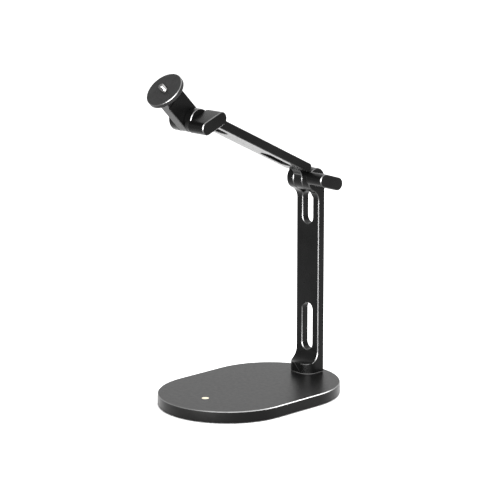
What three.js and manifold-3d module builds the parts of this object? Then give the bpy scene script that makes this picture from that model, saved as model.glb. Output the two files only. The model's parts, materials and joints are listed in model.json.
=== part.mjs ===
// Document camera: a folding desk stand whose arm carries a small round camera platform.
// Units are millimetres, +Z is up, the arm reaches towards -Y and the clamp knobs are on the +X side.
// The origin is the centre of the base's underside, on the desk.
import * as THREE from "three";
import { mergeVertices } from "three/addons/utils/BufferGeometryUtils.js";
import Module from "manifold-3d";

const wasm = await Module();
wasm.setup();

const rad = THREE.MathUtils.degToRad;

// ---- Driving dimensions -------------------------------------------------------------------

// Base: a stadium-shaped slab on a thin rubber pad.
const BASE_LENGTH = 221;
const BASE_WIDTH = 155;
const BASE_TOP = 13.3;
const SHELL_BOTTOM = 0.4;
const BASE_TOP_CHAMFER = 0.8;
const BASE_BOTTOM_ROUND = 1.2;
const PAD_INSET = 4;
const PAD_TOP = 1;
const POCKET_INSET = 12;
const POCKET_TOP = 8.5;
const POCKET_REAR_Y = 62;
const WEIGHT_GAP = 0.4;
const WEIGHT_BOTTOM = 1.4;
const WEIGHT_TOP = 8.2;
const WEIGHT_SCREWS = [
  ["front_left", -44, -50],
  ["front_right", 44, -50],
  ["rear_left", -44, 36],
  ["rear_right", 44, 36],
];
const WEIGHT_SCREW_RADIUS = 2;
const WEIGHT_SCREW_HEAD_RADIUS = 4;
const WEIGHT_SCREW_TOP = 11.5;
const BADGE_Y = -67.7;
const BADGE_RADIUS = 4;

// Bars: the column and the arm share one width, one lug radius and one edge chamfer.
const BAR_HALF_WIDTH = 16.8;
const EDGE_CHAMFER = 0.7;
const LUG_RADIUS = 13.2;
const LUG_FILLET = 13;
const FORK_HALF_GAP = 6.6;
const FORK_CLEARANCE_RADIUS = 13.5;
const FORK_DEPTH = 13.9;
const TONGUE_RADIUS = 13.1;
const TONGUE_HALF_WIDTH = 6.3;

// Column, a flat upright bar with a forked top and a flared foot.
const COLUMN_FRONT_Y = 91.4;
const COLUMN_BACK_Y = 101.3;
const COLUMN_BOTTOM = 14.2;
const COLUMN_BAR_TOP = 226;
const FOOT_FRONT_Y = 75.8;
const FOOT_TOP = 25;
const FOOT_FILLET = 13;
const FOOT_CORNER_RADIUS = 12;
const COLUMN_SLOT_HALF_WIDTH = 7.7;
const COLUMN_SLOTS = [
  [37.8, 92.5],
  [182.9, 220.2],
];
const COLUMN_BOLT_X = 9;
const COLUMN_BOLT_Y = 88.5;
const COLUMN_BOLT_RADIUS = 2.5;
const COLUMN_BOLT_HEAD_RADIUS = 4.7;
const COLUMN_BOLT_BOTTOM = 1.8;
const COLUMN_BOLT_SEAT = 7.2;
const COLUMN_BOLT_TOP = 21.6;

// Elbow hinge and arm. The arm's plate lies above the line that joins its two hinge axes.
const ELBOW_Y = 88.1;
const ELBOW_Z = 235.2;
const ARM_LENGTH = 198;
const ARM_ANGLE = 25.8;
const PLATE_BOTTOM = 3.3;
const PLATE_TOP = 13.2;
const PLATE_START = 13.7;
const PLATE_END_RADIUS = 4;
const ARM_SLOT_HALF_WIDTH = 7.7;
const ARM_SLOTS = [
  [32, 77],
  [140, 181],
];

// Head hinge, neck and camera platform.
const NECK_ANGLE = 45.3;
const NECK_BLOCK_HALF_WIDTH = 9;
const NECK_FLARE_START = 33.9;
const NECK_FLARE_END = 37.6;
const NECK_TOP = 43.8;
const PLATFORM_TOP = 49.8;
const PLATFORM_THICKNESS = 5;
const PLATFORM_RADIUS = 21.3;
const PLATFORM_CHAMFER = 0.6;
const COUNTERBORE_RADIUS = 4.3;
const SPIGOT_RADIUS = 5;
const SPIGOT_LENGTH = 10;
const CAMERA_SCREW_RADIUS = 3.175;
const CAMERA_SCREW_HEIGHT = 6.5;
const GROOVE_HALF_WIDTH = 1.6;
const SWIVEL_WASHER_RADIUS = 11;
const GRUB_SCREW_RADIUS = 2;
const GRUB_SCREW_TOP = 12.3;

// Clamp knobs and their bolts.
const KNOB_LENGTH = 36.6;
const KNOB_WIDTH = 14.6;
const KNOB_INNER_X = 17.1;
const KNOB_OUTER_X = 39.6;
const KNOB_CHAMFER = 0.8;
const ELBOW_KNOB_TILT = -16.7;
const HEAD_KNOB_TILT = 21;
const BOLT_RADIUS = 3;
const BOLT_HEAD_RADIUS = 5;
const BOLT_HEAD_END_X = -15.8;
const BOLT_SEAT_X = -10;
const BOLT_END_X = 30.5;
const INSERT_RADIUS = 4.15;
const INSERT_END_X = 32.5;
const WASHER_BORE_RADIUS = 3.4;
const KNOB_WASHER_RADIUS = 5.4;
const HINGE_WASHER_RADIUS = 9.6;
const RUNNING_CLEARANCE = 0.1;

// ---- Materials ----------------------------------------------------------------------------

function finish(color, roughness, metalness) {
  return new THREE.MeshStandardMaterial({ color, roughness, metalness });
}

const BLACK_ANODISED = finish(0x1d1d1f, 0.35, 0.6);
const BASE_PAINT = finish(0x3b3b3d, 0.3, 0.4);
const PLATFORM_GREY = finish(0x3a3a3c, 0.5, 0.4);
const RUBBER = finish(0x141414, 0.9, 0);
const STEEL = finish(0x9a9c9f, 0.35, 1);
const DARK_STEEL = finish(0x2a2a2c, 0.4, 0.9);
const BRIGHT_STEEL = finish(0xd0d2d4, 0.2, 1);
const BRASS = finish(0xb08d4a, 0.35, 1);
const NYLON = finish(0xb9b7ae, 0.6, 0);
const GOLD = finish(0xf2dfae, 0.3, 0.8);

// ---- Geometry helpers ---------------------------------------------------------------------

// Directions for a flat outline (first two) and its thickness (third).
const ALONG_X = [new THREE.Vector3(0, 1, 0), new THREE.Vector3(0, 0, 1), new THREE.Vector3(1, 0, 0)];
const ALONG_Y = [new THREE.Vector3(-1, 0, 0), new THREE.Vector3(0, 0, 1), new THREE.Vector3(0, 1, 0)];
const ALONG_Z = [new THREE.Vector3(1, 0, 0), new THREE.Vector3(0, 1, 0), new THREE.Vector3(0, 0, 1)];
const UNDER_ELBOW = [new THREE.Vector3(0, 0, 1), new THREE.Vector3(0, 1, 0), new THREE.Vector3(-1, 0, 0)];
const UNDER_HEAD = [new THREE.Vector3(0, 0, 1), new THREE.Vector3(0, -1, 0), new THREE.Vector3(1, 0, 0)];
const KNOB_ACROSS = [new THREE.Vector3(0, 0, -1), new THREE.Vector3(0, 1, 0), new THREE.Vector3(1, 0, 0)];
const TOWARDS_HEAD = [new THREE.Vector3(1, 0, 0), new THREE.Vector3(0, 0, 1), new THREE.Vector3(0, -1, 0)];

function turned(geometry, directions) {
  return geometry.applyMatrix4(new THREE.Matrix4().makeBasis(...directions));
}

// A flat outline given thickness from `from` to `to`, with its edges chamfered.
function slab(shape, directions, from, to, chamfer = 0, curveSegments = 8) {
  const geometry = new THREE.ExtrudeGeometry(shape, {
    depth: to - from - 2 * chamfer,
    curveSegments,
    bevelEnabled: chamfer > 0,
    bevelThickness: chamfer,
    bevelSize: chamfer,
    bevelOffset: -chamfer,
    bevelSegments: 1,
  });
  geometry.translate(0, 0, from + chamfer);
  return turned(geometry, directions);
}

// A turned piece: rows of [radius, height], starting and ending on the axis.
function lathe(profile, directions, segments = 24) {
  const points = profile.map(([r, z]) => new THREE.Vector2(r, z));
  const geometry = new THREE.LatheGeometry(points, segments);
  geometry.rotateX(Math.PI / 2);
  return turned(geometry, directions);
}

function cylinder(radius, from, to, directions, segments = 24) {
  const profile = [
    [0, from],
    [radius, from],
    [radius, to],
    [0, to],
  ];
  return lathe(profile, directions, segments);
}

// A flat ring with an open middle.
function ring(inner, outer, from, to, directions, segments = 24) {
  const profile = [
    [inner, from],
    [outer, from],
    [outer, to],
    [inner, to],
    [inner, from],
  ];
  return lathe(profile, directions, segments);
}

// The outline of a stadium, long way along its second axis.
function stadiumPoints(length, width, arcSegments) {
  const radius = width / 2;
  const middle = length / 2 - radius;
  const points = [];
  for (const side of [1, -1]) {
    for (let i = 0; i <= arcSegments; i += 1) {
      const angle = (Math.PI * i) / arcSegments;
      const along = middle + radius * Math.sin(angle);
      points.push(new THREE.Vector2(side * radius * Math.cos(angle), side * along));
    }
  }
  return points;
}

// A stadium-shaped block: levels are rows of [height, inset from the full outline].
function stadiumBlock(length, width, levels, directions, arcSegments) {
  const positions = [];
  const indices = [];
  const count = 2 * (arcSegments + 1);
  for (const [height, inset] of levels) {
    for (const p of stadiumPoints(length - 2 * inset, width - 2 * inset, arcSegments)) {
      positions.push(p.x, p.y, height);
    }
  }
  for (let level = 0; level + 1 < levels.length; level += 1) {
    for (let i = 0; i < count; i += 1) {
      const a = level * count + i;
      const b = level * count + ((i + 1) % count);
      indices.push(a, b, b + count, a, b + count, a + count);
    }
  }
  const last = (levels.length - 1) * count;
  for (let i = 1; i + 1 < count; i += 1) {
    indices.push(0, i + 1, i);
    indices.push(last, last + i, last + i + 1);
  }
  const geometry = new THREE.BufferGeometry();
  geometry.setAttribute("position", new THREE.Float32BufferAttribute(positions, 3));
  geometry.setIndex(indices);
  return turned(geometry, directions);
}

function box(x0, x1, y0, y1, z0, z1) {
  const geometry = new THREE.BoxGeometry(x1 - x0, y1 - y0, z1 - z0);
  return geometry.translate((x0 + x1) / 2, (y0 + y1) / 2, (z0 + z1) / 2);
}

// ---- Solids: join, cut and convert back ---------------------------------------------------

function solid(geometry) {
  const bare = geometry.clone();
  for (const name of ["normal", "uv"]) {
    bare.deleteAttribute(name);
  }
  const merged = mergeVertices(bare, 1e-4);
  const vertProperties = new Float32Array(merged.attributes.position.array);
  const triVerts = new Uint32Array(merged.index.array);
  return new wasm.Manifold(new wasm.Mesh({ numProp: 3, vertProperties, triVerts }));
}

function combine(bodies, cutters = []) {
  let result = solid(bodies[0]);
  for (const extra of bodies.slice(1)) {
    result = result.add(solid(extra));
  }
  for (const cutter of cutters) {
    result = result.subtract(solid(cutter));
  }
  return geometryOf(result);
}

function common(first, second) {
  return geometryOf(solid(first).intersect(solid(second)));
}

function geometryOf(body) {
  const mesh = body.getMesh();
  const positions = [];
  for (let i = 0; i < mesh.numVert; i += 1) {
    positions.push(...mesh.vertProperties.subarray(i * mesh.numProp, i * mesh.numProp + 3));
  }
  const geometry = new THREE.BufferGeometry();
  geometry.setAttribute("position", new THREE.Float32BufferAttribute(positions, 3));
  geometry.setIndex(Array.from(mesh.triVerts));
  return geometry;
}

function addPiece(group, name, geometry, material) {
  const flat = geometry.index ? geometry.toNonIndexed() : geometry;
  flat.computeVertexNormals();
  const mesh = new THREE.Mesh(flat, material);
  mesh.name = name;
  group.add(mesh);
  return mesh;
}

// ---- Outlines -----------------------------------------------------------------------------

function rectangle(x0, x1, y0, y1) {
  const shape = new THREE.Shape();
  shape.moveTo(x0, y0);
  shape.lineTo(x1, y0);
  shape.lineTo(x1, y1);
  shape.lineTo(x0, y1);
  shape.closePath();
  return shape;
}

// A round-ended slot along the outline's second axis.
function slotPath(halfWidth, from, to) {
  const path = new THREE.Shape();
  path.moveTo(halfWidth, from + halfWidth);
  path.lineTo(halfWidth, to - halfWidth);
  path.absarc(0, to - halfWidth, halfWidth, 0, Math.PI, false);
  path.lineTo(-halfWidth, from + halfWidth);
  path.absarc(0, from + halfWidth, halfWidth, Math.PI, 2 * Math.PI, false);
  return path;
}

// The side view of a hinge lug on the end of a bar. The hinge axis is the outline's origin and the bar
// runs towards negative second axis, between `near` and `far` on the first axis. The far face runs
// straight into the lug, and a fillet joins the near face to it.
function lugShape(radius, near, far, fillet, barEnd) {
  const filletX = near - fillet;
  const filletY = -Math.sqrt((radius + fillet) ** 2 - filletX ** 2);
  const joint = Math.atan2(filletY, filletX);
  const shape = new THREE.Shape();
  shape.moveTo(far, barEnd);
  shape.lineTo(far, 0);
  shape.absarc(0, 0, radius, 0, joint + 2 * Math.PI, false);
  shape.absarc(filletX, filletY, fillet, joint + Math.PI, 0, true);
  shape.lineTo(near, barEnd);
  shape.closePath();
  return shape;
}

// ---- Base ---------------------------------------------------------------------------------

function baseShell() {
  const levels = [];
  const steps = 3;
  for (let i = 0; i <= steps; i += 1) {
    const angle = (Math.PI / 2) * (i / steps);
    levels.push([
      SHELL_BOTTOM + BASE_BOTTOM_ROUND * (1 - Math.cos(angle)),
      BASE_BOTTOM_ROUND * (1 - Math.sin(angle)),
    ]);
  }
  levels.push([BASE_TOP - BASE_TOP_CHAMFER, 0]);
  levels.push([BASE_TOP, BASE_TOP_CHAMFER]);
  const shell = stadiumBlock(BASE_LENGTH, BASE_WIDTH, levels, ALONG_Z, 28);
  const recess = [
    [SHELL_BOTTOM - 1, PAD_INSET - 0.4],
    [PAD_TOP + 0.1, PAD_INSET - 0.4],
  ];
  const cutters = [
    stadiumBlock(BASE_LENGTH, BASE_WIDTH, recess, ALONG_Z, 20),
    pocketBlock(0, SHELL_BOTTOM - 1, POCKET_TOP),
  ];
  const screwHole = WEIGHT_SCREW_RADIUS + RUNNING_CLEARANCE;
  for (const [, x, y] of WEIGHT_SCREWS) {
    const hole = cylinder(screwHole, POCKET_TOP - 1, WEIGHT_SCREW_TOP + 0.3, ALONG_Z, 20);
    cutters.push(hole.translate(x, y, 0));
  }
  for (const side of [-1, 1]) {
    const x = side * COLUMN_BOLT_X;
    const headHole = cylinder(COLUMN_BOLT_HEAD_RADIUS + 0.5, SHELL_BOTTOM - 1, COLUMN_BOLT_SEAT, ALONG_Z, 20);
    const shankHole = cylinder(COLUMN_BOLT_RADIUS + 0.2, COLUMN_BOLT_SEAT - 1.2, BASE_TOP + 1, ALONG_Z, 20);
    cutters.push(headHole.translate(x, COLUMN_BOLT_Y, 0), shankHole.translate(x, COLUMN_BOLT_Y, 0));
  }
  const badgeSeat = cylinder(BADGE_RADIUS + 0.15, BASE_TOP - 0.6, BASE_TOP + 1, ALONG_Z, 28);
  return combine([shell], [...cutters, badgeSeat.translate(0, BADGE_Y, 0)]);
}

// The stadium pocket under the shell, cut straight across ahead of the column's bolts.
function pocketBlock(gap, bottom, top) {
  const levels = [
    [bottom, POCKET_INSET + gap],
    [top, POCKET_INSET + gap],
  ];
  const full = stadiumBlock(BASE_LENGTH, BASE_WIDTH, levels, ALONG_Z, 16);
  return common(full, box(-100, 100, -120, POCKET_REAR_Y - gap, -5, 20));
}

function baseWeight() {
  const plate = pocketBlock(WEIGHT_GAP, WEIGHT_BOTTOM, WEIGHT_TOP);
  const cutters = [];
  for (const [, x, y] of WEIGHT_SCREWS) {
    const countersink = [
      [0, WEIGHT_BOTTOM - 1],
      [WEIGHT_SCREW_HEAD_RADIUS + 0.4, WEIGHT_BOTTOM - 1],
      [WEIGHT_SCREW_HEAD_RADIUS + 0.4, WEIGHT_BOTTOM + 0.4],
      [WEIGHT_SCREW_RADIUS + 0.3, WEIGHT_BOTTOM + 2.5],
      [WEIGHT_SCREW_RADIUS + 0.3, WEIGHT_TOP + 1],
      [0, WEIGHT_TOP + 1],
    ];
    cutters.push(lathe(countersink, ALONG_Z, 20).translate(x, y, 0));
  }
  return combine([plate], cutters);
}

// A screw or bolt turned to a profile, with a hexagonal socket sunk into its head.
function socketScrew(profile, socketRadius, from, to, directions) {
  return combine([lathe(profile, directions)], [cylinder(socketRadius, from, to, directions, 6)]);
}

function weightScrew(x, y) {
  const profile = [
    [0, WEIGHT_BOTTOM + 0.1],
    [WEIGHT_SCREW_HEAD_RADIUS, WEIGHT_BOTTOM + 0.1],
    [WEIGHT_SCREW_HEAD_RADIUS, WEIGHT_BOTTOM + 0.3],
    [WEIGHT_SCREW_RADIUS, WEIGHT_BOTTOM + 2.4],
    [WEIGHT_SCREW_RADIUS, WEIGHT_SCREW_TOP],
    [0, WEIGHT_SCREW_TOP],
  ];
  return socketScrew(profile, 1.44, WEIGHT_BOTTOM - 1, WEIGHT_BOTTOM + 1.5, ALONG_Z).translate(x, y, 0);
}

function columnBolt(x) {
  const profile = [
    [0, COLUMN_BOLT_BOTTOM],
    [COLUMN_BOLT_HEAD_RADIUS - 0.2, COLUMN_BOLT_BOTTOM],
    [COLUMN_BOLT_HEAD_RADIUS, COLUMN_BOLT_BOTTOM + 0.3],
    [COLUMN_BOLT_HEAD_RADIUS, COLUMN_BOLT_SEAT - 0.4],
    [COLUMN_BOLT_RADIUS, COLUMN_BOLT_SEAT - 0.4],
    [COLUMN_BOLT_RADIUS, COLUMN_BOLT_TOP - 0.4],
    [COLUMN_BOLT_RADIUS - 0.4, COLUMN_BOLT_TOP],
    [0, COLUMN_BOLT_TOP],
  ];
  const bolt = socketScrew(profile, 2.31, COLUMN_BOLT_BOTTOM - 0.8, COLUMN_BOLT_BOTTOM + 2.5, ALONG_Z);
  return bolt.translate(x, COLUMN_BOLT_Y, 0);
}

function addBase(group) {
  addPiece(group, "base_shell", baseShell(), BASE_PAINT);
  addPiece(group, "base_weight", baseWeight(), STEEL);
  const padLevels = [
    [0, PAD_INSET],
    [PAD_TOP, PAD_INSET],
  ];
  addPiece(group, "base_foot_pad", stadiumBlock(BASE_LENGTH, BASE_WIDTH, padLevels, ALONG_Z, 20), RUBBER);
  for (const [place, x, y] of WEIGHT_SCREWS) {
    addPiece(group, "weight_screw_" + place, weightScrew(x, y), STEEL);
  }
  const badge = cylinder(BADGE_RADIUS, BASE_TOP - 0.5, BASE_TOP, ALONG_Z, 28).translate(0, BADGE_Y, 0);
  addPiece(group, "round_badge", badge, GOLD);
}

// ---- Column -------------------------------------------------------------------------------

// Stations along one side of the foot's rim, from the front to the column: each has a plan point, the
// plan's outward direction there, and the height and outward direction of the top surface.
function footStations() {
  const r = FOOT_CORNER_RADIUS;
  const f = FOOT_FILLET;
  const filletY = COLUMN_FRONT_Y - f;
  const filletZ = FOOT_TOP + f;
  const stations = [];
  const addStation = (x, y, plan, slope) => {
    const top = new THREE.Vector3(0, -Math.sin(slope), Math.cos(slope));
    stations.push({ edge: new THREE.Vector3(x, y, filletZ - f * Math.cos(slope)), plan, top });
  };
  for (let i = 0; i <= 8; i += 1) {
    const angle = (Math.PI / 2) * (i / 8 - 1);
    const plan = new THREE.Vector3(Math.cos(angle), Math.sin(angle), 0);
    const y = FOOT_FRONT_Y + r + r * plan.y;
    const slope = Math.asin(Math.max(0, y - filletY) / f);
    addStation(BAR_HALF_WIDTH - r + r * plan.x, y, plan, slope);
  }
  const first = Math.asin((FOOT_FRONT_Y + r - filletY) / f);
  for (let i = 1; i <= 4; i += 1) {
    const slope = first + (Math.PI / 2 - first) * (i / 4);
    addStation(BAR_HALF_WIDTH, filletY + f * Math.sin(slope), new THREE.Vector3(1, 0, 0), slope);
  }
  return stations;
}

// The flared foot, with one chamfer all along the edge between its walls and its hollowed top.
function footBody() {
  const c = EDGE_CHAMFER;
  const rows = footStations().map(({ edge, plan, top }) => {
    const overlap = plan.dot(top);
    const down = top.clone().addScaledVector(plan, -overlap).normalize();
    const inward = plan.clone().addScaledVector(top, -overlap).normalize();
    const wall = edge.clone().addScaledVector(down, -c);
    const rim = edge.clone().addScaledVector(inward, -c);
    return [new THREE.Vector3(wall.x, wall.y, COLUMN_BOTTOM), wall, rim];
  });
  const back = COLUMN_FRONT_Y + 4;
  const height = FOOT_TOP + FOOT_FILLET + 2;
  rows.push([
    new THREE.Vector3(BAR_HALF_WIDTH, back, COLUMN_BOTTOM),
    new THREE.Vector3(BAR_HALF_WIDTH, back, height),
    new THREE.Vector3(BAR_HALF_WIDTH - c, back, height),
  ]);
  const positions = [];
  const indices = [];
  for (const row of rows) {
    const mirrored = row.map((p) => new THREE.Vector3(-p.x, p.y, p.z)).reverse();
    for (const p of [...row, ...mirrored]) {
      positions.push(p.x, p.y, p.z);
    }
  }
  const around = 6;
  for (let row = 0; row + 1 < rows.length; row += 1) {
    for (let i = 0; i < around; i += 1) {
      const a = row * around + i;
      const b = row * around + ((i + 1) % around);
      indices.push(a, a + around, b + around, a, b + around, b);
    }
  }
  const last = (rows.length - 1) * around;
  for (let i = 1; i + 1 < around; i += 1) {
    indices.push(0, i, i + 1);
    indices.push(last, last + i + 1, last + i);
  }
  const geometry = new THREE.BufferGeometry();
  geometry.setAttribute("position", new THREE.Float32BufferAttribute(positions, 3));
  geometry.setIndex(indices);
  return geometry;
}

// The round hole, socket and bolt-head seat that a clamp bolt needs through a fork.
function clampBoltCutters(y, z) {
  const bore = cylinder(BOLT_RADIUS + 0.15, -20, 20, ALONG_X).translate(0, y, z);
  const seat = cylinder(BOLT_HEAD_RADIUS + 0.3, -20, BOLT_SEAT_X, ALONG_X).translate(0, y, z);
  return [bore, seat];
}

// A through slot in a bar between two faces, widened at both faces to chamfer its edges.
function slotCutters(halfWidth, from, to, directions, near, far) {
  const flare = EDGE_CHAMFER + 0.2;
  const through = slab(slotPath(halfWidth, from, to), directions, near - 18, far + 2, 0, 6);
  const wide = slotPath(halfWidth + flare, from - flare, to + flare);
  const starts = [near + EDGE_CHAMFER - 2 * flare - 0.1, far - EDGE_CHAMFER];
  const flares = starts.map((start) => slab(wide, directions, start, start + 2 * flare + 0.1, flare, 6));
  return [through, ...flares];
}

function column() {
  const front = rectangle(-BAR_HALF_WIDTH, BAR_HALF_WIDTH, COLUMN_BOTTOM, COLUMN_BAR_TOP);
  const bar = slab(front, ALONG_Y, COLUMN_FRONT_Y, COLUMN_BACK_Y, EDGE_CHAMFER);
  const near = COLUMN_FRONT_Y - ELBOW_Y;
  const far = COLUMN_BACK_Y - ELBOW_Y;
  const lug = lugShape(LUG_RADIUS, near, far, LUG_FILLET, -34);
  const ears = [-1, 1].map((side) => {
    const [from, to] = side < 0 ? [-BAR_HALF_WIDTH, -FORK_HALF_GAP] : [FORK_HALF_GAP, BAR_HALF_WIDTH];
    return slab(lug, ALONG_X, from, to, EDGE_CHAMFER, 10).translate(0, ELBOW_Y, ELBOW_Z);
  });
  const fork = cylinder(FORK_CLEARANCE_RADIUS, -FORK_HALF_GAP, FORK_HALF_GAP, ALONG_X, 40);
  const cutters = [fork.translate(0, ELBOW_Y, ELBOW_Z), ...clampBoltCutters(ELBOW_Y, ELBOW_Z)];
  for (const [from, to] of COLUMN_SLOTS) {
    cutters.push(...slotCutters(COLUMN_SLOT_HALF_WIDTH, from, to, ALONG_Y, COLUMN_FRONT_Y, COLUMN_BACK_Y));
  }
  for (const side of [-1, 1]) {
    const radius = COLUMN_BOLT_RADIUS + RUNNING_CLEARANCE;
    const hole = cylinder(radius, COLUMN_BOTTOM - 1, COLUMN_BOLT_TOP + 0.8, ALONG_Z, 20);
    cutters.push(hole.translate(side * COLUMN_BOLT_X, COLUMN_BOLT_Y, 0));
  }
  return combine([bar, ...ears, footBody()], cutters);
}

function columnGasket() {
  const inset = 0.6;
  const plan = new THREE.Shape();
  const r = FOOT_CORNER_RADIUS - inset;
  const w = BAR_HALF_WIDTH - inset;
  const front = FOOT_FRONT_Y + inset;
  plan.moveTo(w, COLUMN_BACK_Y - inset);
  plan.lineTo(-w, COLUMN_BACK_Y - inset);
  plan.lineTo(-w, front + r);
  plan.absarc(-w + r, front + r, r, Math.PI, 1.5 * Math.PI, false);
  plan.absarc(w - r, front + r, r, -Math.PI / 2, 0, false);
  plan.closePath();
  const sheet = slab(plan, ALONG_Z, BASE_TOP + 0.1, COLUMN_BOTTOM - 0.1, 0, 5);
  const cutters = [-1, 1].map((side) => {
    const hole = cylinder(COLUMN_BOLT_RADIUS + 0.4, BASE_TOP - 1, COLUMN_BOTTOM + 1, ALONG_Z, 20);
    return hole.translate(side * COLUMN_BOLT_X, COLUMN_BOLT_Y, 0);
  });
  return combine([sheet], cutters);
}

function addColumn(group) {
  addPiece(group, "column_gasket", columnGasket(), RUBBER);
  addPiece(group, "column", column(), BLACK_ANODISED);
  addPiece(group, "column_bolt_left", columnBolt(-COLUMN_BOLT_X), DARK_STEEL);
  addPiece(group, "column_bolt_right", columnBolt(COLUMN_BOLT_X), DARK_STEEL);
}

// ---- Clamp hardware, shared by both hinges ------------------------------------------------

// A socket-head bolt whose head sits in the left ear and whose thread runs into the knob.
function clampBolt() {
  const profile = [
    [0, BOLT_HEAD_END_X],
    [BOLT_HEAD_RADIUS - 0.3, BOLT_HEAD_END_X],
    [BOLT_HEAD_RADIUS, BOLT_HEAD_END_X + 0.3],
    [BOLT_HEAD_RADIUS, BOLT_SEAT_X - 0.2],
    [BOLT_RADIUS, BOLT_SEAT_X - 0.2],
    [BOLT_RADIUS, BOLT_END_X - 0.5],
    [BOLT_RADIUS - 0.5, BOLT_END_X],
    [0, BOLT_END_X],
  ];
  return socketScrew(profile, 2.89, BOLT_HEAD_END_X - 1.2, BOLT_HEAD_END_X + 3, ALONG_X);
}

function clampKnob() {
  const levels = [
    [KNOB_INNER_X, KNOB_CHAMFER],
    [KNOB_INNER_X + KNOB_CHAMFER, 0],
    [KNOB_OUTER_X - KNOB_CHAMFER, 0],
    [KNOB_OUTER_X, KNOB_CHAMFER],
  ];
  const body = stadiumBlock(KNOB_LENGTH, KNOB_WIDTH, levels, KNOB_ACROSS, 12);
  const bore = [
    [0, KNOB_INNER_X - 1],
    [KNOB_WASHER_RADIUS + 0.2, KNOB_INNER_X - 1],
    [KNOB_WASHER_RADIUS + 0.2, KNOB_INNER_X + 1],
    [INSERT_RADIUS + 0.15, KNOB_INNER_X + 1],
    [INSERT_RADIUS + 0.15, INSERT_END_X + 0.5],
    [0, INSERT_END_X + 0.5],
  ];
  return combine([body], [lathe(bore, ALONG_X)]);
}

// One hinge's clamp: the ring, insert and wing-shaped knob turn together on the bolt's thread.
function addKnob(group, prefix, tilt) {
  const turning = new THREE.Group();
  turning.rotation.x = rad(tilt);
  group.add(turning);
  addPiece(turning, prefix + "_knob", clampKnob(), BLACK_ANODISED);
  const threadRadius = BOLT_RADIUS + RUNNING_CLEARANCE;
  const insert = ring(threadRadius, INSERT_RADIUS, KNOB_INNER_X + 1.2, INSERT_END_X, ALONG_X);
  addPiece(turning, prefix + "_knob_insert", insert, BRASS);
  const washerStart = BAR_HALF_WIDTH + 0.1;
  const washer = ring(WASHER_BORE_RADIUS, KNOB_WASHER_RADIUS, washerStart, KNOB_INNER_X + 0.9, ALONG_X);
  addPiece(turning, prefix + "_knob_washer", washer, NYLON);
}

function addHingeWashers(group, prefix) {
  const inner = TONGUE_HALF_WIDTH - 0.5;
  const outer = FORK_HALF_GAP - 0.1;
  for (const [side, from, to] of [["left", -outer, -inner], ["right", inner, outer]]) {
    const washer = ring(WASHER_BORE_RADIUS, HINGE_WASHER_RADIUS, from, to, ALONG_X, 28);
    addPiece(group, prefix + "_washer_" + side, washer, NYLON);
  }
}

// What a clamped tongue loses: the bolt hole and a shallow seat each side for its friction washers.
function tongueCutters() {
  const floor = TONGUE_HALF_WIDTH - 0.6;
  const seatRadius = HINGE_WASHER_RADIUS + 0.2;
  return [
    cylinder(BOLT_RADIUS + 0.15, -20, 20, ALONG_X),
    cylinder(seatRadius, -20, -floor, ALONG_X, 28),
    cylinder(seatRadius, floor, 20, ALONG_X, 28),
  ];
}

// ---- Arm, drawn level from the elbow hinge towards -Y -------------------------------------

function armPlate() {
  const r = PLATE_END_RADIUS;
  const start = -PLATE_START;
  const headEnd = 4 - ARM_LENGTH;
  const side = new THREE.Shape();
  side.moveTo(headEnd, PLATE_BOTTOM);
  side.lineTo(start - r, PLATE_BOTTOM);
  side.absarc(start - r, PLATE_BOTTOM + r, r, -Math.PI / 2, 0, false);
  side.lineTo(start, PLATE_TOP - r);
  side.absarc(start - r, PLATE_TOP - r, r, 0, Math.PI / 2, false);
  side.lineTo(headEnd, PLATE_TOP);
  side.closePath();
  const outline = rectangle(-BAR_HALF_WIDTH, BAR_HALF_WIDTH, -ARM_LENGTH, 0);
  return common(
    slab(side, ALONG_X, -BAR_HALF_WIDTH, BAR_HALF_WIDTH, EDGE_CHAMFER, 3),
    slab(outline, ALONG_Z, PLATE_BOTTOM, PLATE_TOP, EDGE_CHAMFER, 6),
  );
}

// A single tongue at the elbow and a fork at the head, joined by the slotted plate.
function arm() {
  const tongueOutline = lugShape(TONGUE_RADIUS, PLATE_BOTTOM, TONGUE_RADIUS, LUG_FILLET, -30);
  const tongue = slab(tongueOutline, UNDER_ELBOW, -TONGUE_HALF_WIDTH, TONGUE_HALF_WIDTH, EDGE_CHAMFER, 10);
  const earOutline = lugShape(LUG_RADIUS, PLATE_BOTTOM, PLATE_TOP, LUG_FILLET, -34);
  const ears = [-1, 1].map((side) => {
    const [from, to] = side < 0 ? [-BAR_HALF_WIDTH, -FORK_HALF_GAP] : [FORK_HALF_GAP, BAR_HALF_WIDTH];
    return slab(earOutline, UNDER_HEAD, from, to, EDGE_CHAMFER, 10).translate(0, -ARM_LENGTH, 0);
  });
  const forkFloor = FORK_DEPTH - ARM_LENGTH;
  const fork = box(-FORK_HALF_GAP, FORK_HALF_GAP, -ARM_LENGTH - 20, forkFloor, -20, 20);
  const cutters = [
    fork,
    ...clampBoltCutters(-ARM_LENGTH, 0),
    ...tongueCutters(),
  ];
  for (const [from, to] of ARM_SLOTS) {
    cutters.push(...slotCutters(ARM_SLOT_HALF_WIDTH, -to, -from, ALONG_Z, PLATE_BOTTOM, PLATE_TOP));
  }
  return combine([armPlate(), tongue, ...ears], cutters);
}

// ---- Neck and platform, drawn level from the head hinge towards -Y ------------------------

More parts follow.
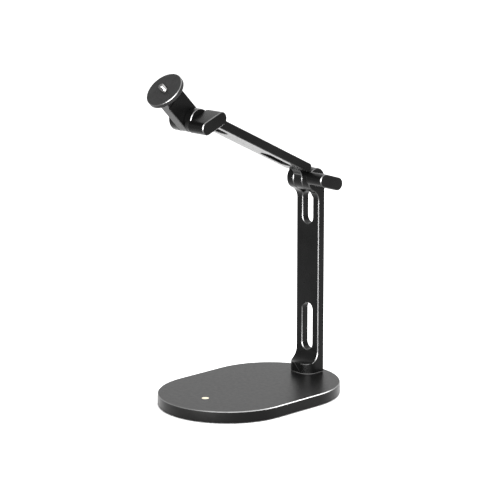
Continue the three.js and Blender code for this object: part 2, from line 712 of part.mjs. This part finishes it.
function neck() {
  const r = TONGUE_RADIUS;
  const side = new THREE.Shape();
  side.moveTo(-NECK_TOP, -r);
  side.lineTo(0, -r);
  side.absarc(0, 0, r, -Math.PI / 2, Math.PI / 2, false);
  side.lineTo(-NECK_TOP, r);
  side.closePath();
  const tongue = slab(side, ALONG_X, -TONGUE_HALF_WIDTH, TONGUE_HALF_WIDTH, EDGE_CHAMFER, 10);
  const head = slab(neckHeadOutline(), ALONG_Z, -r, r, EDGE_CHAMFER);
  const bore = cylinder(SPIGOT_RADIUS + RUNNING_CLEARANCE, spigotEnd() - 0.6, NECK_TOP + 1, TOWARDS_HEAD);
  const grubRadius = GRUB_SCREW_RADIUS + RUNNING_CLEARANCE;
  const grubHole = cylinder(grubRadius, 4, TONGUE_RADIUS + 1, ALONG_Z, 20).translate(0, -grubDistance(), 0);
  return combine([tongue, head], [bore, grubHole, ...tongueCutters()]);
}

// The neck's head seen from above: it flares from the tongue's width to the block's.
function neckHeadOutline() {
  const outline = new THREE.Shape();
  outline.moveTo(-NECK_BLOCK_HALF_WIDTH, -NECK_TOP);
  outline.lineTo(NECK_BLOCK_HALF_WIDTH, -NECK_TOP);
  outline.lineTo(NECK_BLOCK_HALF_WIDTH, -NECK_FLARE_END);
  outline.lineTo(TONGUE_HALF_WIDTH - EDGE_CHAMFER, -NECK_FLARE_START + 1);
  outline.lineTo(EDGE_CHAMFER - TONGUE_HALF_WIDTH, -NECK_FLARE_START + 1);
  outline.lineTo(-NECK_BLOCK_HALF_WIDTH, -NECK_FLARE_END);
  outline.closePath();
  return outline;
}

function spigotEnd() {
  return PLATFORM_TOP - PLATFORM_THICKNESS - SPIGOT_LENGTH;
}

function grubDistance() {
  return spigotEnd() + 3.5;
}

// The platform's underside carries a grooved spigot that turns in the neck.
function platformDisc() {
  const bottom = PLATFORM_TOP - PLATFORM_THICKNESS;
  const groove = grubDistance();
  const hole = CAMERA_SCREW_RADIUS + 0.1;
  const profile = [
    [0, spigotEnd()],
    [SPIGOT_RADIUS - 0.5, spigotEnd()],
    [SPIGOT_RADIUS, spigotEnd() + 0.5],
    [SPIGOT_RADIUS, groove - GROOVE_HALF_WIDTH],
    [SPIGOT_RADIUS - 1, groove - GROOVE_HALF_WIDTH],
    [SPIGOT_RADIUS - 1, groove + GROOVE_HALF_WIDTH],
    [SPIGOT_RADIUS, groove + GROOVE_HALF_WIDTH],
    [SPIGOT_RADIUS, bottom],
    [PLATFORM_RADIUS - PLATFORM_CHAMFER, bottom],
    [PLATFORM_RADIUS, bottom + PLATFORM_CHAMFER],
    [PLATFORM_RADIUS, PLATFORM_TOP - PLATFORM_CHAMFER],
    [PLATFORM_RADIUS - PLATFORM_CHAMFER, PLATFORM_TOP],
    [COUNTERBORE_RADIUS, PLATFORM_TOP],
    [COUNTERBORE_RADIUS, PLATFORM_TOP - 0.8],
    [hole, PLATFORM_TOP - 0.8],
    [hole, bottom - 0.4],
    [0, bottom - 0.4],
  ];
  return lathe(profile, TOWARDS_HEAD, 48);
}

function cameraScrew() {
  const profile = [
    [0, PLATFORM_TOP - PLATFORM_THICKNESS],
    [CAMERA_SCREW_RADIUS, PLATFORM_TOP - PLATFORM_THICKNESS],
    [CAMERA_SCREW_RADIUS, PLATFORM_TOP + CAMERA_SCREW_HEIGHT - 0.7],
    [CAMERA_SCREW_RADIUS - 0.7, PLATFORM_TOP + CAMERA_SCREW_HEIGHT],
    [0, PLATFORM_TOP + CAMERA_SCREW_HEIGHT],
  ];
  return lathe(profile, TOWARDS_HEAD, 28);
}

function swivelWasher() {
  const bore = SPIGOT_RADIUS + 0.3;
  return ring(bore, SWIVEL_WASHER_RADIUS, NECK_TOP + 0.1, NECK_TOP + 0.9, TOWARDS_HEAD, 28);
}

// A grub screw in the neck's rear face, whose dog point rides in the spigot's groove.
function swivelGrubScrew() {
  const profile = [
    [0, 4.3],
    [1.2, 4.3],
    [1.2, 5.4],
    [GRUB_SCREW_RADIUS, 5.4],
    [GRUB_SCREW_RADIUS, GRUB_SCREW_TOP],
    [0, GRUB_SCREW_TOP],
  ];
  const screw = socketScrew(profile, 1.15, GRUB_SCREW_TOP - 1.9, GRUB_SCREW_TOP + 0.7, ALONG_Z);
  return screw.translate(0, -grubDistance(), 0);
}

// ---- Assembly -----------------------------------------------------------------------------

function hingedGroup(parent, y, z, angle) {
  const group = new THREE.Group();
  group.position.set(0, y, z);
  group.rotation.x = -rad(angle);
  parent.add(group);
  return group;
}

const stand = new THREE.Group();
stand.name = "document_camera";
addBase(stand);
addColumn(stand);

const elbow = hingedGroup(stand, ELBOW_Y, ELBOW_Z, 0);
addPiece(elbow, "elbow_bolt", clampBolt(), DARK_STEEL);
addKnob(elbow, "elbow", ELBOW_KNOB_TILT);

const armGroup = hingedGroup(stand, ELBOW_Y, ELBOW_Z, ARM_ANGLE);
addPiece(armGroup, "arm", arm(), BLACK_ANODISED);
addHingeWashers(armGroup, "elbow");

const headY = ELBOW_Y - ARM_LENGTH * Math.cos(rad(ARM_ANGLE));
const headZ = ELBOW_Z + ARM_LENGTH * Math.sin(rad(ARM_ANGLE));
const head = hingedGroup(stand, headY, headZ, 0);
addPiece(head, "head_bolt", clampBolt(), DARK_STEEL);
addKnob(head, "head", HEAD_KNOB_TILT);

const neckGroup = hingedGroup(stand, headY, headZ, NECK_ANGLE);
addPiece(neckGroup, "neck", neck(), BLACK_ANODISED);
addHingeWashers(neckGroup, "head");
addPiece(neckGroup, "swivel_washer", swivelWasher(), NYLON);
addPiece(neckGroup, "swivel_grub_screw", swivelGrubScrew(), DARK_STEEL);
addPiece(neckGroup, "platform_disc", platformDisc(), PLATFORM_GREY);
addPiece(neckGroup, "camera_screw", cameraScrew(), BRIGHT_STEEL);

export default stand;
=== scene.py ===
"""Document camera stand: materials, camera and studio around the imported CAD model."""

import json
import math

import bmesh
import bpy
from mathutils import Matrix, Vector


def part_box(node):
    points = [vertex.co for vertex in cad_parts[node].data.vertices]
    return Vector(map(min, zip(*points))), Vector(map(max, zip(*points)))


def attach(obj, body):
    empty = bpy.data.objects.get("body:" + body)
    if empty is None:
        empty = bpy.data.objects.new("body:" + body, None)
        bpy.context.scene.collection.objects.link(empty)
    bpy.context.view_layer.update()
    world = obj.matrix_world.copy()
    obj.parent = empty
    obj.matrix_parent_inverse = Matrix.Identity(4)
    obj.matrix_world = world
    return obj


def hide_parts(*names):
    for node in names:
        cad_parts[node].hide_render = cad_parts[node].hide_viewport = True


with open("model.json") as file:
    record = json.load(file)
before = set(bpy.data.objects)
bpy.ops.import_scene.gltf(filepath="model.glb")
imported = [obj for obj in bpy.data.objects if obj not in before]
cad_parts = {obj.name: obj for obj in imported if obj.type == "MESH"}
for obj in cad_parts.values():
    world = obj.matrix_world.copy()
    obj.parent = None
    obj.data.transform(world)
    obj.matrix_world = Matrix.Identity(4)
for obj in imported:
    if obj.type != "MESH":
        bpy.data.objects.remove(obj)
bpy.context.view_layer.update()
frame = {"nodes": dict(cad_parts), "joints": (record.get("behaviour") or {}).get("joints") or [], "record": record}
NODES = frame["nodes"]
JOINTS = {joint["name"]: joint for joint in frame["joints"]}

MM = 0.001
UP = Vector((0, 0, 1))
RIGHT = Vector((1, 0, 0))
BACK = Vector((0, 1, 0))
ELBOW = Vector(JOINTS["elbow_hinge"]["pos_m"])
HEAD = Vector(JOINTS["neck_tilt"]["pos_m"])
PLATFORM_AXIS = Vector(JOINTS["platform_swivel"]["axis"]).normalized()
ARM_DIRECTION = (HEAD - ELBOW).normalized()
PLATE_NORMAL = ARM_DIRECTION.cross(RIGHT).normalized()
SMOOTH_ANGLE = math.radians(32)
WELD_DISTANCE = 0.002 * MM
COUNTERBORE_RADIUS = 4.32 * MM

# A chamfer's face is narrower than the first of these, and lies near 45 degrees to a flat face.
# The strips of a fillet between flat faces are wider than the second.
CHAMFER_WIDTH = 1.8 * MM
FILLET_STRIP = 1.15 * MM
CHAMFER_SLOPES = (0.66, 0.75)
SQUARE_SLOPE = 0.1

# ---- Node-material helpers ------------------------------------------------------------------


class Shader:
    """One procedural material: a Principled shader and the nodes that feed it."""

    def __init__(self, name, **sockets):
        self.material = bpy.data.materials.new(name)
        self.material.use_nodes = True
        self.tree = self.material.node_tree
        self.bsdf = next(n for n in self.tree.nodes if n.type == "BSDF_PRINCIPLED")
        for socket, value in sockets.items():
            self.bsdf.inputs[socket.replace("_", " ")].default_value = value
        self.place = self.add("ShaderNodeTexCoord").outputs["Object"]

    def add(self, kind, **settings):
        node = self.tree.nodes.new(kind)
        for name, value in settings.items():
            setattr(node, name, value)
        return node

    def join(self, source, target):
        self.tree.links.new(source, target)

    def noise(self, scale, detail=3.0, roughness=0.5, vector=None):
        node = self.add("ShaderNodeTexNoise")
        self.join(vector or self.place, node.inputs["Vector"])
        node.inputs["Scale"].default_value = scale
        node.inputs["Detail"].default_value = detail
        node.inputs["Roughness"].default_value = roughness
        return node.outputs["Fac"]

    def distance_from(self, point, axis):
        """Distance from the line through a point along an axis, in metres."""
        offset = self.add("ShaderNodeVectorMath", operation="SUBTRACT")
        self.join(self.place, offset.inputs[0])
        offset.inputs[1].default_value = point
        across = self.add("ShaderNodeVectorMath", operation="CROSS_PRODUCT")
        self.join(offset.outputs[0], across.inputs[0])
        across.inputs[1].default_value = axis
        length = self.add("ShaderNodeVectorMath", operation="LENGTH")
        self.join(across.outputs[0], length.inputs[0])
        return length.outputs["Value"]

    def waves(self, distance, pitch):
        """A smooth ripple from 0 to 1 with one crest for each pitch of distance."""
        turns = self.add("ShaderNodeMath", operation="MULTIPLY")
        self.join(distance, turns.inputs[0])
        turns.inputs[1].default_value = 2 * math.pi / pitch
        wave = self.add("ShaderNodeMath", operation="SINE")
        self.join(turns.outputs[0], wave.inputs[0])
        return self.ranged(wave.outputs[0], 0.0, 1.0, -1.0, 1.0)

    def ranged(self, value, low, high, start=0.3, end=0.7):
        node = self.add("ShaderNodeMapRange")
        self.join(value, node.inputs["Value"])
        node.inputs["From Min"].default_value = start
        node.inputs["From Max"].default_value = end
        node.inputs["To Min"].default_value = low
        node.inputs["To Max"].default_value = high
        return node.outputs["Result"]

    def colour(self, value, dark, light):
        """Base colour that drifts between two tones."""
        ramp = self.add("ShaderNodeValToRGB")
        ramp.color_ramp.elements[0].position = 0.3
        ramp.color_ramp.elements[0].color = (*dark, 1)
        ramp.color_ramp.elements[1].position = 0.7
        ramp.color_ramp.elements[1].color = (*light, 1)
        self.join(value, ramp.inputs["Fac"])
        self.join(ramp.outputs["Color"], self.bsdf.inputs["Base Color"])
        return self

    def roughness(self, value, low, high):
        self.join(self.ranged(value, low, high), self.bsdf.inputs["Roughness"])
        return self

    def bump(self, height, depth, strength=1.0):
        """Relief whose full height is depth, in metres; later calls add to earlier ones."""
        node = self.add("ShaderNodeBump")
        node.inputs["Strength"].default_value = strength
        node.inputs["Distance"].default_value = depth
        self.join(height, node.inputs["Height"])
        normal = self.bsdf.inputs["Normal"]
        if normal.is_linked:
            self.join(normal.links[0].from_socket, node.inputs["Normal"])
        self.join(node.outputs["Normal"], normal)
        return self


def grey(level, warm=0.0):
    """A neutral tone, or one with a little more red than blue."""
    return (level * (1 + warm), level, level * (1 - warm))


# ---- Finishes -------------------------------------------------------------------------------


def black_anodising():
    """Bead-blasted aluminium under black anodising: even, dark, with a very fine grain."""
    s = Shader("black_anodising", Metallic=0.85, Specular_IOR_Level=0.15)
    s.colour(s.noise(45, 4), grey(0.0035), grey(0.0055))
    s.roughness(s.noise(260, 5, 0.65), 0.25, 0.32)
    s.bump(s.noise(5200, 2), 0.004 * MM, 0.35)
    return s.material


def cut_edge(name, tone):
    """Edges cut after the faces were finished, so they are brighter and have no grain."""
    s = Shader(name, Metallic=1.0)
    s.colour(s.noise(160, 5), grey(tone * 0.9), grey(tone * 1.1))
    s.roughness(s.noise(900, 4), 0.3, 0.36)
    return s.material


def base_coating():
    """Dark grey satin paint with a slight orange peel."""
    s = Shader("base_coating", Metallic=0.4, Specular_IOR_Level=0.12)
    s.colour(s.noise(30, 4), grey(0.003, 0.02), grey(0.004, 0.02))
    s.roughness(s.noise(220, 5, 0.6), 0.31, 0.37)
    s.bump(s.noise(7000, 2), 0.003 * MM, 0.2)
    return s.material


def platform_anodising():
    """Dark grey anodising over the fine rings that the lathe left."""
    s = Shader("platform_anodising", Metallic=0.0, Specular_IOR_Level=0.12)
    radius = s.distance_from(HEAD, PLATFORM_AXIS)
    s.colour(s.noise(120, 4), grey(0.002), grey(0.0035))
    s.roughness(s.noise(400, 4), 0.34, 0.46)
    s.bump(s.waves(radius, 0.45 * MM), 0.006 * MM, 0.5)
    s.bump(s.noise(5200, 2), 0.004 * MM, 0.3)
    return s.material


def moulded_rubber():
    """The foot pad and the gasket: dull and slightly rough."""
    s = Shader("moulded_rubber", Metallic=0.0, Specular_IOR_Level=0.3)
    s.colour(s.noise(90, 5), grey(0.010), grey(0.018))
    s.roughness(s.noise(500, 4), 0.7, 0.9)
    s.bump(s.noise(1800, 4, 0.7), 0.06 * MM, 0.5)
    return s.material


def plated_steel():
    """Dull zinc plate on the weight and its screws."""
    s = Shader("plated_steel", Metallic=1.0)
    s.colour(s.noise(140, 5, 0.6), grey(0.42, 0.01), grey(0.58, 0.01))
    s.roughness(s.noise(700, 4), 0.28, 0.5)
    s.bump(s.noise(2400, 4), 0.01 * MM, 0.4)
    return s.material


def black_oxide_steel():
    """Socket bolts and the grub screw."""
    s = Shader("black_oxide_steel", Metallic=1.0)
    s.colour(s.noise(260, 5, 0.6), grey(0.018), grey(0.05))
    s.roughness(s.noise(900, 4), 0.28, 0.48)
    s.bump(s.noise(3000, 4), 0.01 * MM, 0.4)
    return s.material


def nickel_plate():
    """The camera screw: bright, with faint wear."""
    s = Shader("nickel_plate", Metallic=1.0)
    s.colour(s.noise(500, 4), grey(0.11, 0.02), grey(0.17, 0.01))
    s.roughness(s.noise(1200, 4), 0.08, 0.18)
    s.bump(s.noise(5000, 2), 0.003 * MM, 0.3)
    return s.material


def turned_brass():
    """The knobs' thread inserts, ringed about the elbow's axis by the lathe."""
    s = Shader("turned_brass", Metallic=1.0)
    s.colour(s.noise(600, 4), (0.46, 0.3, 0.1), (0.62, 0.43, 0.17))
    s.roughness(s.noise(1200, 4), 0.25, 0.45)
    s.bump(s.waves(s.distance_from(ELBOW, RIGHT), 0.2 * MM), 0.006 * MM, 0.5)
    return s.material


def natural_nylon():
    """The washers: cream, waxy and slightly translucent."""
    s = Shader("natural_nylon", Metallic=0.0, Subsurface_Weight=0.15)
    s.colour(s.noise(300, 4), (0.50, 0.48, 0.43), (0.62, 0.60, 0.54))
    s.roughness(s.noise(900, 4), 0.45, 0.65)
    s.bump(s.noise(2600, 4), 0.02 * MM, 0.3)
    return s.material


def pale_gold():
    """The small round badge: pale gold with rings turned into its face."""
    lowest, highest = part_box("round_badge")
    s = Shader("pale_gold", Metallic=1.0)
    radius = s.distance_from((lowest + highest) / 2, UP)
    s.colour(s.noise(900, 4), (0.93, 0.84, 0.60), (0.99, 0.93, 0.74))
    s.roughness(s.noise(1500, 4), 0.2, 0.34)
    s.bump(s.waves(radius, 0.4 * MM), 0.008 * MM, 0.5)
    return s.material


# ---- CAD nodes: smooth shading and materials ------------------------------------------------


def smooth_by_angle():
    """A modifier's node group: merges coincident points and smooths across shallow edges only."""
    group = bpy.data.node_groups.new("smooth_by_angle", "GeometryNodeTree")
    for direction in ("INPUT", "OUTPUT"):
        group.interface.new_socket("Geometry", in_out=direction, socket_type="NodeSocketGeometry")
    nodes, links = group.nodes, group.links
    start = nodes.new("NodeGroupInput")
    weld = nodes.new("GeometryNodeMergeByDistance")
    weld.inputs["Distance"].default_value = WELD_DISTANCE
    faces = nodes.new("GeometryNodeSetShadeSmooth")
    faces.domain = "FACE"
    edges = nodes.new("GeometryNodeSetShadeSmooth")
    edges.domain = "EDGE"
    edges.inputs["Shade Smooth"].default_value = False
    angle = nodes.new("GeometryNodeInputMeshEdgeAngle")
    sharp = nodes.new("FunctionNodeCompare")
    sharp.operation = "GREATER_THAN"
    sharp.inputs["B"].default_value = SMOOTH_ANGLE
    end = nodes.new("NodeGroupOutput")
    links.new(start.outputs[0], weld.inputs["Geometry"])
    links.new(weld.outputs["Geometry"], faces.inputs["Geometry"])
    links.new(faces.outputs["Geometry"], edges.inputs["Geometry"])
    links.new(angle.outputs["Unsigned Angle"], sharp.inputs["A"])
    links.new(sharp.outputs["Result"], edges.inputs["Selection"])
    links.new(edges.outputs["Geometry"], end.inputs[0])
    return group


def narrowest_width(mesh, polygon):
    """The height of a triangle over its longest side."""
    corners = [mesh.vertices[i].co for i in polygon.vertices]
    longest = max((a - b).length for a, b in zip(corners, corners[1:] + corners[:1]))
    return 2 * polygon.area / longest


def is_chamfer(mesh, polygon, axes):
    """Whether a face is cut at 45 degrees to a face of the part, and is no strip of a fillet.

    Fillets run square to the first axis, so a face that leans towards it can't belong to one.
    """
    width = narrowest_width(mesh, polygon)
    if width > CHAMFER_WIDTH:
        return False
    slopes = [abs(polygon.normal.dot(axis)) for axis in axes]
    no_fillet = slopes[0] > SQUARE_SLOPE or width < FILLET_STRIP
    lowest, highest = CHAMFER_SLOPES
    return no_fillet and any(lowest < slope < highest for slope in slopes)


def dress(name, material, edge_material=None, axes=()):
    """Gives a CAD node its finish, smooth shading and, where it has them, brighter chamfers."""
    node = NODES[name]
    node.data.materials.clear()
    node.data.materials.append(material)
    if edge_material:
        node.data.materials.append(edge_material)
    for polygon in node.data.polygons:
        polygon.material_index = int(bool(edge_material) and is_chamfer(node.data, polygon, axes))
    modifier = node.modifiers.new("smooth_by_angle", "NODES")
    modifier.node_group = SMOOTHING


def paint_shade_in_counterbore():
    """Painted shade: the counterbore round the camera screw gets the darker black anodising instead of the
    platform's turned finish.
    """
    disc = NODES["platform_disc"].data
    disc.materials.append(BLACK)
    for polygon in disc.polygons:
        if (polygon.center - HEAD).cross(PLATFORM_AXIS).length < COUNTERBORE_RADIUS:
            polygon.material_index = 2


SMOOTHING = smooth_by_angle()
BLACK = black_anodising()
CHAMFER = cut_edge("dark_cut_edge", 0.055)
NICKEL = nickel_plate()
PLAIN_FINISHES = {
    "zinc_steel": plated_steel(),
    "black_steel": black_oxide_steel(),
    "black_rubber": moulded_rubber(),
    "nylon": natural_nylon(),
    "brass": turned_brass(),
}

dress("base_shell", base_coating(), cut_edge("base_cut_edge", 0.16), [UP])
dress("column", BLACK, CHAMFER, [RIGHT, BACK, UP])
dress("arm", BLACK, CHAMFER, [RIGHT, PLATE_NORMAL])
dress("neck", BLACK, CHAMFER, [RIGHT, PLATFORM_AXIS])
platform_edge = cut_edge("platform_cut_edge", 0.08)
dress("platform_disc", platform_anodising(), platform_edge, [PLATFORM_AXIS])
# Painted shade: the recess round the camera screw is made darker than the platform's face.
paint_shade_in_counterbore()
for knob in ("elbow_knob", "head_knob"):
    dress(knob, BLACK, CHAMFER, [RIGHT])
dress("round_badge", pale_gold())
dress("camera_screw", NICKEL)
for subpart in frame["record"]["subparts"]:
    if subpart["material_slot"] in PLAIN_FINISHES:
        dress(subpart["node"], PLAIN_FINISHES[subpart["material_slot"]])

# ---- Camera screw with its thread -----------------------------------------------------------

SCREW_RADIUS = 3.175 * MM
THREAD_PITCH = 1.27 * MM
THREAD_DEPTH = 0.62 * MM
FLANK_STEEPNESS = 2.6
ROOT_FLAT = 0.12
TIP_BEVEL = 0.9 * MM
POINTS_ROUND = 40
ROWS_PER_TURN = 10


def thread_radius(angle, height, length):
    """Surface radius of a single-start thread with flat crests and roots and a tapered tip."""
    phase = (height / THREAD_PITCH - angle / (2 * math.pi)) % 1.0
    flank = min(1.0, max(0.0, FLANK_STEEPNESS * abs(phase - 0.5) - ROOT_FLAT))
    radius = SCREW_RADIUS - THREAD_DEPTH * (1 - flank)
    return min(radius, SCREW_RADIUS - TIP_BEVEL + (length - height))


def threaded_screw(name, foot, axis, length):
    """Rings of points up the screw, joined into one closed skin."""
    mesh = bmesh.new()
    turn = axis.to_track_quat("Z", "Y").to_matrix().to_4x4()
    rows = round(length / THREAD_PITCH * ROWS_PER_TURN)
    rings = []
    for row in range(rows + 1):
        height = length * row / rows
        ring = []
        for step in range(POINTS_ROUND):
            angle = 2 * math.pi * step / POINTS_ROUND
            radius = thread_radius(angle, height, length)
            ring.append(mesh.verts.new((radius * math.cos(angle), radius * math.sin(angle), height)))
        rings.append(ring)
    for lower, upper in zip(rings, rings[1:]):
        for step in range(POINTS_ROUND):
            after = (step + 1) % POINTS_ROUND
            mesh.faces.new((lower[step], lower[after], upper[after], upper[step]))
    mesh.faces.new(list(reversed(rings[0])))
    mesh.faces.new(rings[-1])
    mesh.transform(Matrix.Translation(foot) @ turn)
    data = bpy.data.meshes.new(name)
    mesh.to_mesh(data)
    mesh.free()
    for polygon in data.polygons[:-2]:
        polygon.use_smooth = True
    screw = bpy.data.objects.new(name, data)
    bpy.context.scene.collection.objects.link(screw)
    return screw


def extent_along(node, point, axis):
    """How far a node reaches along an axis from a point: least and greatest, in metres."""
    reach = [(vertex.co - point).dot(axis) for vertex in NODES[node].data.vertices]
    return min(reach), max(reach)


screw_start, screw_end = extent_along("camera_screw", HEAD, PLATFORM_AXIS)
camera_screw = threaded_screw(
    "threaded_camera_screw",
    HEAD + PLATFORM_AXIS * screw_start,
    PLATFORM_AXIS,
    screw_end - screw_start,
)
camera_screw.data.materials.append(NICKEL)
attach(camera_screw, "platform")
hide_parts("camera_screw")

# ---- Floor, light and camera ----------------------------------------------------------------

FLOOR_REACH = 30.0
SKY_STRENGTH = 1.2
CAMERA_PLACE = (1.72849, -1.7254, 0.71025)
CAMERA_FALL = math.radians(12.54)
CAMERA_HEADING = math.radians(45.04)
CAMERA_SENSOR = 36.0
CAMERA_LENS = 165.33


def studio_floor():
    data = bpy.data.meshes.new("floor")
    corners = [(x * FLOOR_REACH, y * FLOOR_REACH, 0) for x, y in ((-1, -1), (1, -1), (1, 1), (-1, 1))]
    data.from_pydata(corners, [], [(0, 1, 2, 3)])
    floor = bpy.data.objects.new("floor", data)
    bpy.context.scene.collection.objects.link(floor)
    s = Shader("floor_white", Metallic=0.0, Specular_IOR_Level=0.0, Roughness=1.0)
    s.colour(s.noise(3), grey(0.9), grey(0.91))
    data.materials.append(s.material)


def studio_sky():
    world = bpy.data.worlds.new("studio")
    bpy.context.scene.world = world
    world.use_nodes = True
    background = next(n for n in world.node_tree.nodes if n.type == "BACKGROUND")
    background.inputs["Color"].default_value = (1, 1, 1, 1)
    background.inputs["Strength"].default_value = SKY_STRENGTH
    bpy.context.scene.view_settings.view_transform = "Standard"


def area_light(name, place, aim, size, power, receivers=None):
    """A rectangular soft light, which lights only the objects in receivers if that is given."""
    data = bpy.data.lights.new(name, "AREA")
    data.shape = "RECTANGLE"
    data.size, data.size_y = size
    data.energy = power
    light = bpy.data.objects.new(name, data)
    light.location = place
    light.rotation_euler = (Vector(aim) - Vector(place)).to_track_quat("-Z", "Y").to_euler()
    bpy.context.scene.collection.objects.link(light)
    if receivers is not None:
        light.light_linking.receiver_collection = receivers


def light_group(name, objects):
    group = bpy.data.collections.new(name)
    for lit in objects:
        group.objects.link(lit)
    return group


def studio_lights():
    """The base has its own lights, because its broad flat top would mirror the strong front ones."""
    base = light_group("base_only", [NODES["base_shell"]])
    kept_out = ("base_shell", "round_badge")
    upper_nodes = [node for name, node in NODES.items() if name not in kept_out]
    upper = light_group("lit_from_front", [*upper_nodes, camera_screw])
    area_light("overhead", (0.2, 0.2, 1.8), (0, 0, 0.1), (2.2, 2.6), 60)
    area_light("low_front", (1.35, -1.35, 0.3), (0, 0, 0.2), (2.2, 0.5), 260, upper)
    area_light("high_front", (1.15, -1.15, 1.05), (0, 0, 0.25), (1.6, 1.1), 170, upper)
    area_light("base_front", (0.3, -1.6, 0.09), (0, -0.08, 0.0), (1.3, 0.12), 100, base)
    area_light("base_rear", (0.45, 1.4, 1.4), (0, 0, 0), (0.9, 0.9), 36, base)


def studio_camera():
    data = bpy.data.cameras.new("camera")
    data.sensor_width = CAMERA_SENSOR
    data.lens = CAMERA_LENS
    data.clip_end = 100.0
    camera = bpy.data.objects.new("camera", data)
    camera.location = CAMERA_PLACE
    camera.rotation_euler = (math.pi / 2 - CAMERA_FALL, 0.0, CAMERA_HEADING)
    bpy.context.scene.collection.objects.link(camera)
    bpy.context.scene.camera = camera


studio_floor()
studio_sky()
studio_lights()
studio_camera()
